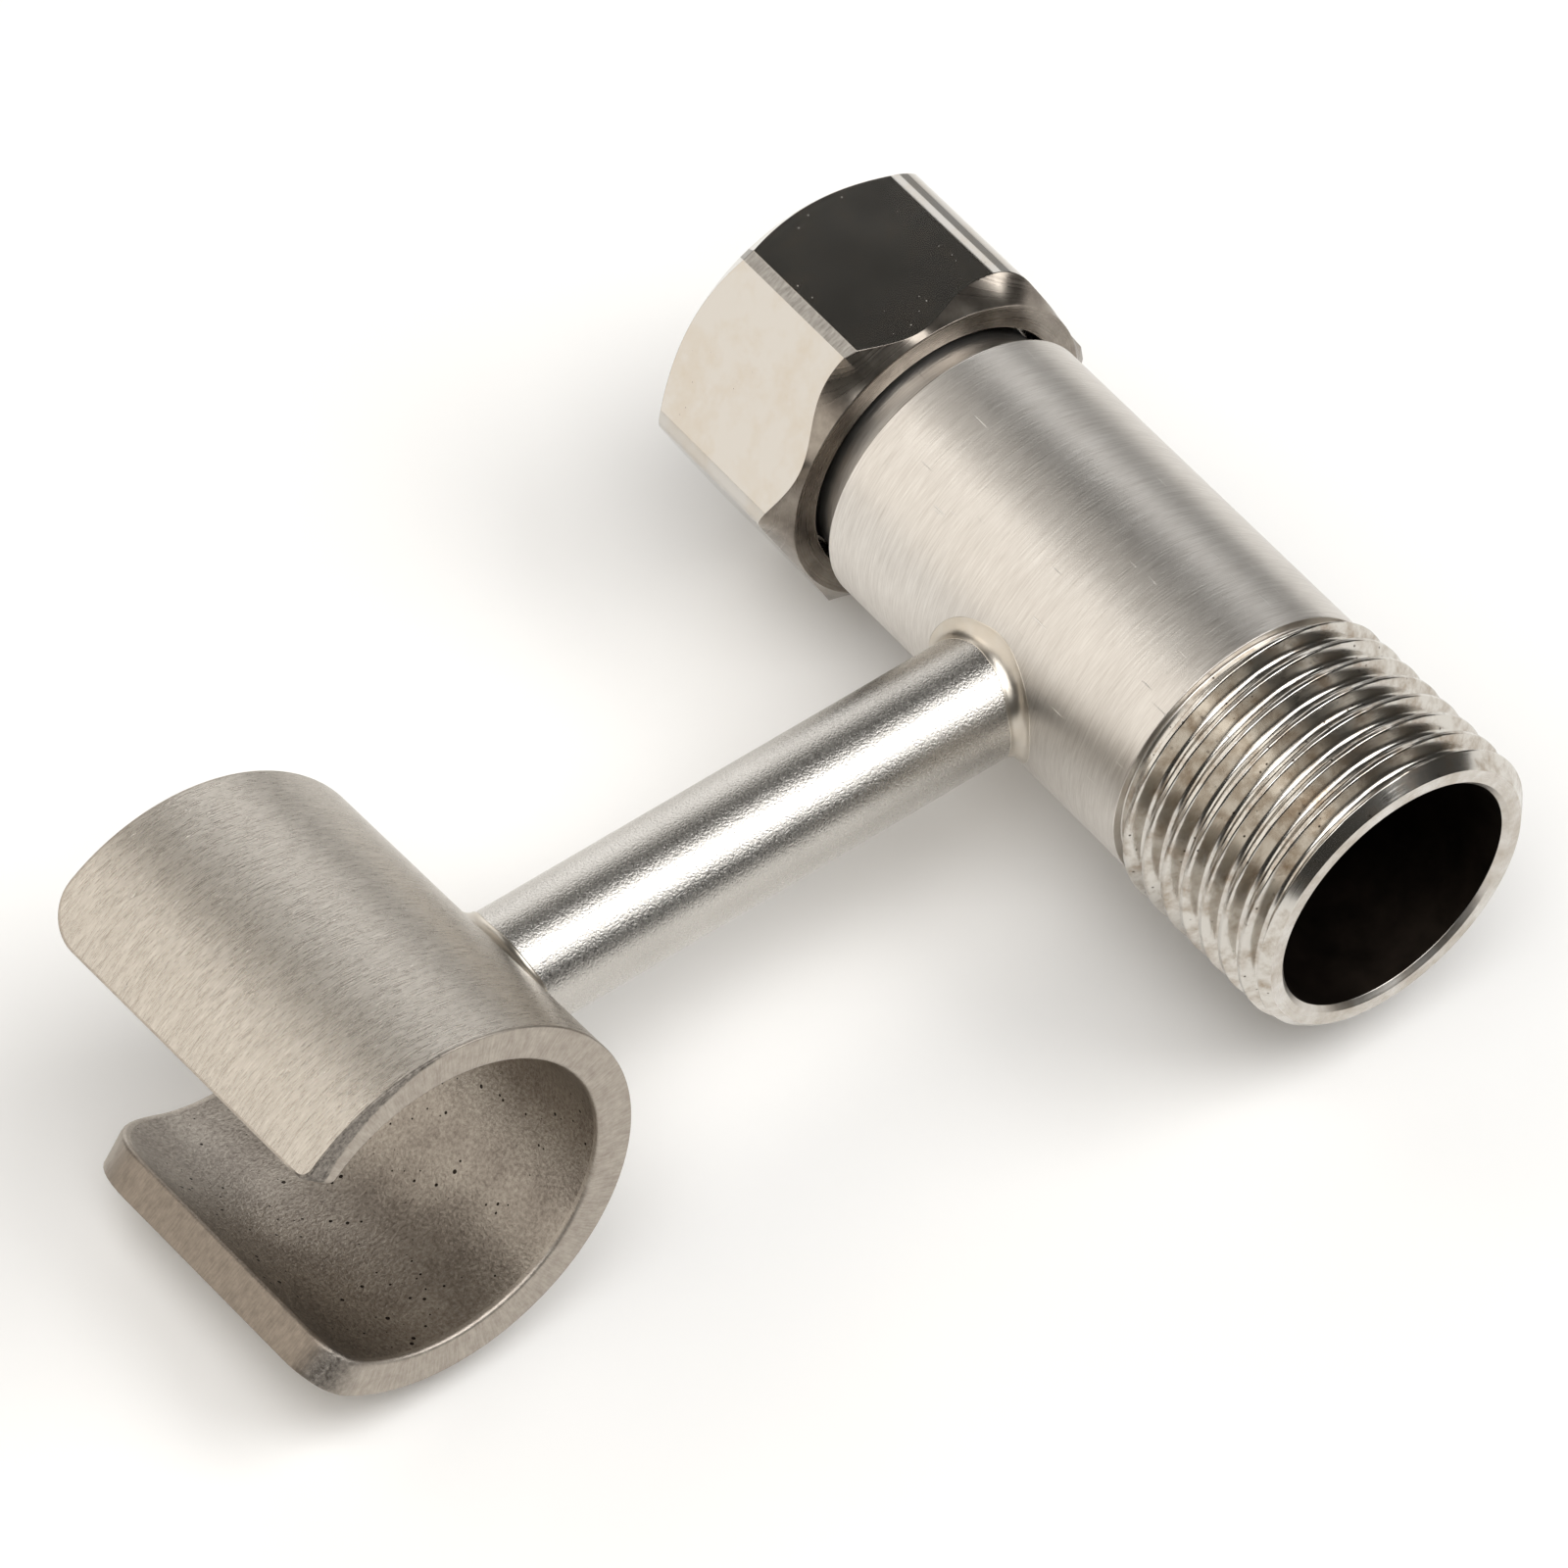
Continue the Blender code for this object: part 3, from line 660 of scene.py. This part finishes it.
def blasted_steel():
    """Stainless steel, bead blasted: an even grain of small dimples that sparkle at a highlight's edges."""
    material, shader, spot = start("bead_blasted_stainless_steel")
    # Real dimples are about 0.05 mm wide, and are drawn three times as wide to show
    grain = add(material, "TexNoise", {"Vector": spot, "Scale": 1 / 0.14, "Detail": 2.0, "Roughness": 0.6})
    clouds = add(material, "TexNoise", {"Vector": spot, "Scale": 1 / 5, "Detail": 2.0})
    tint = add(material, "Mix", {0: clouds, 6: linear("#BDB9B3"), 7: linear("#CBC7C1")}, 2, data_type="RGBA")
    rough = add(material, "MapRange", {"Value": grain, "To Min": 0.2, "To Max": 0.36})
    dimples = add(material, "Bump", {"Height": grain, "Strength": 1.0, "Distance": 0.034 * MM})
    connect(material, shader, Base_Color=tint, Roughness=rough, Normal=dimples)
    return material


def brushed_steel():
    """Stainless steel plate, belt brushed after rolling.

    Short fine strokes lie round the roll, a little askew, in brighter and duller streaks, with deeper
    nicks across them.
    """
    material, shader, _ = start("belt_brushed_stainless_steel")
    flat = add(material, "Attribute", {}, "Vector", attribute_name="unrolled")
    # Real strokes are about 0.05 mm wide, and are drawn twice as wide to show
    along_roll = add(material, "Mapping", {"Vector": flat, "Rotation": (0.0, 0.0, 0.1),
                                           "Scale": (1 / 0.9, 1 / 0.1, 1.0)})
    lines = add(material, "TexNoise", {"Vector": along_roll, "Scale": 1.0, "Detail": 3.0, "Roughness": 0.68})
    streak_at = add(material, "Mapping", {"Vector": flat, "Rotation": (0.0, 0.0, 0.08),
                                          "Scale": (1 / 2.5, 1 / 0.35, 1.0)})
    streaks = add(material, "TexNoise", {"Vector": streak_at, "Scale": 1.0, "Detail": 3.0})
    nick_at = add(material, "Mapping", {"Vector": flat, "Rotation": (0.0, 0.0, 0.9),
                                        "Scale": (1 / 1.1, 1 / 0.16, 1.0)})
    nick = add(material, "TexNoise", {"Vector": nick_at, "Scale": 1.0, "Detail": 1.0})
    nicks = add(material, "MapRange", {"Value": nick, "From Min": 0.73, "From Max": 0.8})
    shade = add(material, "Math", {0: streaks, 1: 0.5, 2: lines}, operation="MULTIPLY_ADD")
    even = add(material, "MapRange", {"Value": shade, "From Min": 0.45, "From Max": 1.05})
    tint = add(material, "Mix", {0: even, 6: linear("#A0988E"), 7: linear("#D8D1C7")}, 2, data_type="RGBA")
    bright = add(material, "Mix", {0: nicks, 6: tint, 7: linear("#DDD7CE")}, 2, data_type="RGBA")
    rough = add(material, "MapRange", {"Value": shade, "From Min": 0.4, "From Max": 1.1,
                                       "To Min": 0.23, "To Max": 0.33})
    grooves = add(material, "Bump", {"Height": lines, "Strength": 1.0, "Distance": 0.04 * MM})
    marks = add(material, "Bump", {"Height": nicks, "Strength": 1.0, "Distance": 0.03 * MM,
                                   "Normal": grooves}, invert=True)
    connect(material, shader, Base_Color=bright, Roughness=rough, Normal=marks)
    return material


def dull_plate_steel():
    """Stainless steel plate as rolled, not brushed: dull grey-brown skin, fine grain, clusters of pits."""
    material, shader, spot = start("rolled_dull_stainless_steel")
    blotch = add(material, "TexNoise", {"Vector": spot, "Scale": 1 / 4, "Detail": 6.0, "Roughness": 0.62})
    grain = add(material, "TexNoise", {"Vector": spot, "Scale": 1 / 0.25, "Detail": 3.0, "Roughness": 0.65})
    pore = add(material, "TexVoronoi", {"Vector": spot, "Scale": 1 / 0.8, "Randomness": 1.0}, "Distance")
    crowd = add(material, "MapRange", {"Value": blotch, "From Min": 0.4, "From Max": 0.6,
                                       "To Min": 0.02, "To Max": 0.18})
    pits = add(material, "Math", {0: pore, 1: crowd}, operation="LESS_THAN")
    shade = add(material, "Math", {0: grain, 1: 1.3, 2: blotch}, operation="MULTIPLY_ADD")
    even = add(material, "MapRange", {"Value": shade, "From Min": 0.75, "From Max": 1.55})
    tint = add(material, "Mix", {0: even, 6: linear("#766D65"), 7: linear("#B5ADA2")}, 2, data_type="RGBA")
    spotted = add(material, "Mix", {0: pits, 6: tint, 7: linear("#2E2823")}, 2, data_type="RGBA")
    rough = add(material, "MapRange", {"Value": grain, "To Min": 0.28, "To Max": 0.46})
    skin = add(material, "Bump", {"Height": grain, "Strength": 1.0, "Distance": 0.045 * MM})
    holes = add(material, "Bump", {"Height": pits, "Strength": 1.0, "Distance": 0.05 * MM, "Normal": skin},
                invert=True)
    connect(material, shader, Base_Color=spotted, Roughness=rough, Normal=holes)
    return material


def ground_edge_steel():
    """Stainless steel, sawn edge ground by hand.

    Short strokes cross the edge over brown mottling, which is darker on the lower lip. The outer part of
    the outlet's end, near the upper lip, was missed and stays rough and dark, and so does the lower
    corner there. Places are in millimetres on the unrolled plate.
    """
    material, shader, spot = start("ground_stainless_steel")
    flat = add(material, "Attribute", {}, "Vector", attribute_name="unrolled")
    across, along, depth = (add(material, "SeparateXYZ", {"Vector": flat}, i) for i in range(3))
    stroke_at = add(material, "VectorMath", {0: flat, 1: (1 / 0.14, 1 / 0.14, 1 / 1.0)}, operation="MULTIPLY")
    strokes = add(material, "TexNoise", {"Vector": stroke_at, "Scale": 1.0, "Detail": 3.0, "Roughness": 0.65})
    grain = add(material, "TexNoise", {"Vector": spot, "Scale": 1 / 0.3, "Detail": 5.0, "Roughness": 0.72})
    blotch = add(material, "TexNoise", {"Vector": spot, "Scale": 1 / 0.7, "Detail": 5.0, "Roughness": 0.68})
    shade = add(material, "Math", {0: strokes, 1: 0.9, 2: blotch}, operation="MULTIPLY_ADD")
    even = add(material, "MapRange", {"Value": shade, "From Min": 0.65, "From Max": 1.25})
    tint = add(material, "Mix", {0: even, 6: linear("#9C9288"), 7: linear("#BDB5AA")}, 2, data_type="RGBA")
    at_low_lip = add(material, "MapRange", {"Value": across, "From Min": -32.5, "From Max": -31.5,
                                            "To Min": 1.0, "To Max": 0.0})
    brown = add(material, "Mix", {0: even, 6: linear("#786F65"), 7: linear("#978C80")}, 2, data_type="RGBA")
    ground = add(material, "Mix", {0: at_low_lip, 6: tint, 7: brown}, 2, data_type="RGBA")
    missed = add(material, "MapRange", {"Value": across, "From Min": 18.5, "From Max": 31.0,
                                        "To Min": -0.1, "To Max": 1.6})
    ragged = add(material, "Math", {0: blotch, 1: 0.6, 2: missed}, operation="MULTIPLY_ADD")
    band = add(material, "Math", {0: ragged, 1: depth}, operation="SUBTRACT")
    upper = add(material, "MapRange", {"Value": band, "From Min": 0.25, "From Max": 0.4})
    at_outlet = add(material, "MapRange", {"Value": along, "From Min": -12.3, "From Max": -11.3,
                                           "To Min": 1.0, "To Max": 0.0})
    at_low_corner = add(material, "MapRange", {"Value": across, "From Min": -31.5, "From Max": -29.0,
                                               "To Min": 1.0, "To Max": 0.0})
    either = add(material, "Math", {0: upper, 1: at_low_corner}, operation="MAXIMUM")
    rest = add(material, "Math", {0: either, 1: at_outlet}, operation="MULTIPLY")
    uneven = add(material, "MapRange", {"Value": grain, "From Min": 0.35, "From Max": 0.68})
    dark = add(material, "Mix", {0: uneven, 6: linear("#5C5650"), 7: linear("#A39C93")}, 2, data_type="RGBA")
    colour = add(material, "Mix", {0: rest, 6: ground, 7: dark}, 2, data_type="RGBA")
    rough = add(material, "MapRange", {"Value": grain, "To Min": 0.32, "To Max": 0.52})
    height = add(material, "Mix", {0: rest, 2: strokes, 3: grain}, 0, data_type="FLOAT")
    deep = add(material, "Math", {0: rest, 1: 0.05 * MM, 2: 0.025 * MM}, operation="MULTIPLY_ADD")
    grooves = add(material, "Bump", {"Height": height, "Strength": 1.0, "Distance": deep})
    connect(material, shader, Base_Color=colour, Roughness=rough, Normal=grooves)
    return material


def weld_steel():
    """Stainless steel weld, dressed satin: a soft wavy shine with a trace of straw-coloured heat tint."""
    material, shader, spot = start("dressed_stainless_steel_weld")
    wave = add(material, "TexNoise", {"Vector": spot, "Scale": 1 / 1.2, "Detail": 3.0})
    tint = add(material, "Mix", {0: wave, 6: linear("#BDB2A1"), 7: linear("#CBC6BE")}, 2, data_type="RGBA")
    rough = add(material, "MapRange", {"Value": wave, "To Min": 0.24, "To Max": 0.36})
    ripple = add(material, "Bump", {"Height": wave, "Strength": 1.0, "Distance": 0.02 * MM})
    connect(material, shader, Base_Color=tint, Roughness=rough, Normal=ripple)
    return material


def spring_wire_steel():
    """Stainless spring wire, drawn: even grey shine with faint die lines."""
    material, shader, spot = start("drawn_stainless_spring_wire")
    lines = add(material, "TexNoise", {"Vector": spot, "Scale": 1 / 0.3, "Detail": 2.0})
    tint = add(material, "Mix", {0: lines, 6: linear("#B9B3AA"), 7: linear("#CBC6BE")}, 2, data_type="RGBA")
    rough = add(material, "MapRange", {"Value": lines, "To Min": 0.22, "To Max": 0.34})
    connect(material, shader, Base_Color=tint, Roughness=rough)
    return material


def moulded_rubber():
    """Nitrile rubber, moulded: matt black with a fine even skin and a trace of bloom."""
    material, shader, spot = start("moulded_nitrile_rubber", metallic=0.0)
    skin = add(material, "TexNoise", {"Vector": spot, "Scale": 1 / 0.25, "Detail": 3.0})
    tint = add(material, "Mix", {0: skin, 6: linear("#161514"), 7: linear("#262422")}, 2, data_type="RGBA")
    rough = add(material, "MapRange", {"Value": skin, "To Min": 0.55, "To Max": 0.75})
    grain = add(material, "Bump", {"Height": skin, "Strength": 1.0, "Distance": 0.02 * MM})
    connect(material, shader, Base_Color=tint, Roughness=rough, Normal=grain)
    return material


def dress(made, node, body):
    """Sets a finished piece in the place of its solid."""
    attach(made, body)
    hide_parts(node)


turned_finish, bore_painted_shade = turned_satin_steel(), dark_bore_steel()
faced = faced_steel("faced_stainless_steel", "#B8AFA3", "#D8D4CE")
# Darker copy of the faced steel for the nut's end face and chamfer cones: its darker colours are painted
# shade, where the pipe and nut keep light from these faces
painted_shade_faced = faced_steel("painted_shade_faced_stainless_steel", "#7C746C", "#9C948A")
thread_finish, weld_finish = cut_thread_steel(), weld_steel()
dress(connector_body({"turned": turned_finish, "thread": thread_finish, "end": faced, "neck": turned_finish,
                      "bore": bore_painted_shade}), "connector_body", "root")
dress(swivel_nut({"flat": polished_steel(), "strip": broken_corner_steel(), "cone": painted_shade_faced, "face": painted_shade_faced,
                  "bore": thread_finish, "relief": bore_painted_shade}), "swivel_nut", "nut")
dress(snap_ring(spring_wire_steel()), "retaining_ring", "root")
dress(washer(moulded_rubber()), "sealing_washer", "root")
dress(holder_arm(blasted_steel()), "holder_arm", "root")
dress(spray_cradle({"outside": brushed_steel(), "edge": ground_edge_steel(), "inside": dull_plate_steel()}),
      "spray_cradle", "root")
dress(weld("pipe_fillet", pipe_wall, -1.0, *PIPE_BEAD, weld_finish),
      "body_weld", "root")
dress(weld("cradle_fillet", cradle_wall, 1.0, *CRADLE_BEAD, weld_finish),
      "cradle_weld", "root")


def from_crossing(azimuth, elevation):
    """Unit direction: azimuth from -Y towards +X, elevation above the floor, in degrees."""
    a, e = math.radians(azimuth), math.radians(elevation)
    return Vector((math.sin(a) * math.cos(e), -math.cos(a) * math.cos(e), math.sin(e)))


def soft_box(name, azimuth, elevation, distance, width, height, watts, colour="#FFFFFF"):
    """Rectangular light that faces the object, in metres."""
    data = bpy.data.lights.new(name, "AREA")
    data.shape = "RECTANGLE"
    data.size, data.size_y = width, height
    data.energy = watts
    data.color = linear(colour)[:3]
    light = bpy.data.objects.new(name, data)
    bpy.context.scene.collection.objects.link(light)
    direction = from_crossing(azimuth, elevation)
    light.location = Vector(OBJECT_MIDDLE) + direction * distance
    light.rotation_euler = direction.to_track_quat("Z", "Y").to_euler()
    light.visible_camera = False


def stage_sheet(name, points, colour, visible):
    """Flat sheet of the set, which isn't part of the object."""
    mesh = bpy.data.meshes.new(name)
    mesh.from_pydata(points, [], [(0, 1, 2, 3)])
    sheet = bpy.data.objects.new(name, mesh)
    bpy.context.scene.collection.objects.link(sheet)
    material = bpy.data.materials.new(name)
    material.use_nodes = True
    shader = material.node_tree.nodes["Principled BSDF"].inputs
    shader["Base Color"].default_value = linear(colour)
    shader["Roughness"].default_value = 0.9
    shader["Specular IOR Level"].default_value = 0.0
    mesh.materials.append(material)
    sheet.visible_camera = sheet.visible_diffuse = sheet.visible_shadow = visible


def standing_card(name, azimuth, distance, width, low, high, colour):
    """Upright card that faces the object, seen only in reflections."""
    direction = from_crossing(azimuth, 0.0)
    across = Vector((-direction.y, direction.x, 0.0)) * (width / 2)
    foot = Vector((OBJECT_MIDDLE[0], OBJECT_MIDDLE[1], 0.0)) + direction * distance
    ends = [foot - across, foot + across]
    stage_sheet(name, [ends[0] + Vector((0, 0, low)), ends[1] + Vector((0, 0, low)),
                       ends[1] + Vector((0, 0, high)), ends[0] + Vector((0, 0, high))], colour, False)


OBJECT_MIDDLE = (cad_box[0] + cad_box[1]) / 2
FLOOR = 2.5
stage_sheet("floor", [(-FLOOR, -FLOOR, 0), (FLOOR, -FLOOR, 0), (FLOOR, FLOOR, 0), (-FLOOR, FLOOR, 0)],
            "#F6F5F3", True)
soft_box("front_right_box", 46.0, 48.0, 0.7, 0.46, 0.38, 2.4)
soft_box("left_back_box", -130.0, 27.0, 0.7, 0.85, 0.72, 2.4, "#FFFAF3")
soft_box("top_back_box", -172.0, 48.0, 0.7, 0.50, 0.34, 0.42, "#FFFAF3")
soft_box("back_box", 151.0, 19.0, 0.7, 0.38, 0.51, 0.90)
soft_box("right_back_box", 122.0, 10.0, 0.7, 0.25, 0.26, 0.07)
soft_box("right_top_box", 125.0, 29.0, 0.7, 0.22, 0.18, 0.15)
soft_box("camera_side_box", -37.0, 68.0, 0.95, 0.8, 0.8, 6.4)
standing_card("low_front_card", 22.0, 0.30, 0.30, 0.0, 0.10, "#141312")

world = bpy.data.worlds.new("studio")
bpy.context.scene.world = world
world.use_nodes = True
world.node_tree.nodes["Background"].inputs["Color"].default_value = linear("#3A3936")
bpy.context.scene.view_settings.view_transform = "Standard"

# Camera of the photograph, worked out from the thread, the bore's ellipse and the outlines of pipe and arm
CAMERA_AZIMUTH, CAMERA_ELEVATION = -37.21, 50.43
CAMERA_DISTANCE = 0.600
CAMERA_LEFT, CAMERA_DOWN = 0.019832, 0.010034
SENSOR = 36.0
FRAME_PIXELS, FOCAL_PIXELS = 1600, 10063.5
back = from_crossing(CAMERA_AZIMUTH, CAMERA_ELEVATION)
right = Vector((math.cos(math.radians(CAMERA_AZIMUTH)), math.sin(math.radians(CAMERA_AZIMUTH)), 0.0))
up = back.cross(right)
camera_data = bpy.data.cameras.new("photograph")
camera_data.sensor_width = SENSOR
camera_data.lens = FOCAL_PIXELS / FRAME_PIXELS * SENSOR
camera = bpy.data.objects.new("photograph", camera_data)
bpy.context.scene.collection.objects.link(camera)
seat = Vector(CROSSING) + back * CAMERA_DISTANCE - right * CAMERA_LEFT - up * CAMERA_DOWN
camera.matrix_world = Matrix.Translation(seat) @ Matrix((right, up, back)).transposed().to_4x4()
bpy.context.scene.camera = camera

bpy.context.view_layer.update()
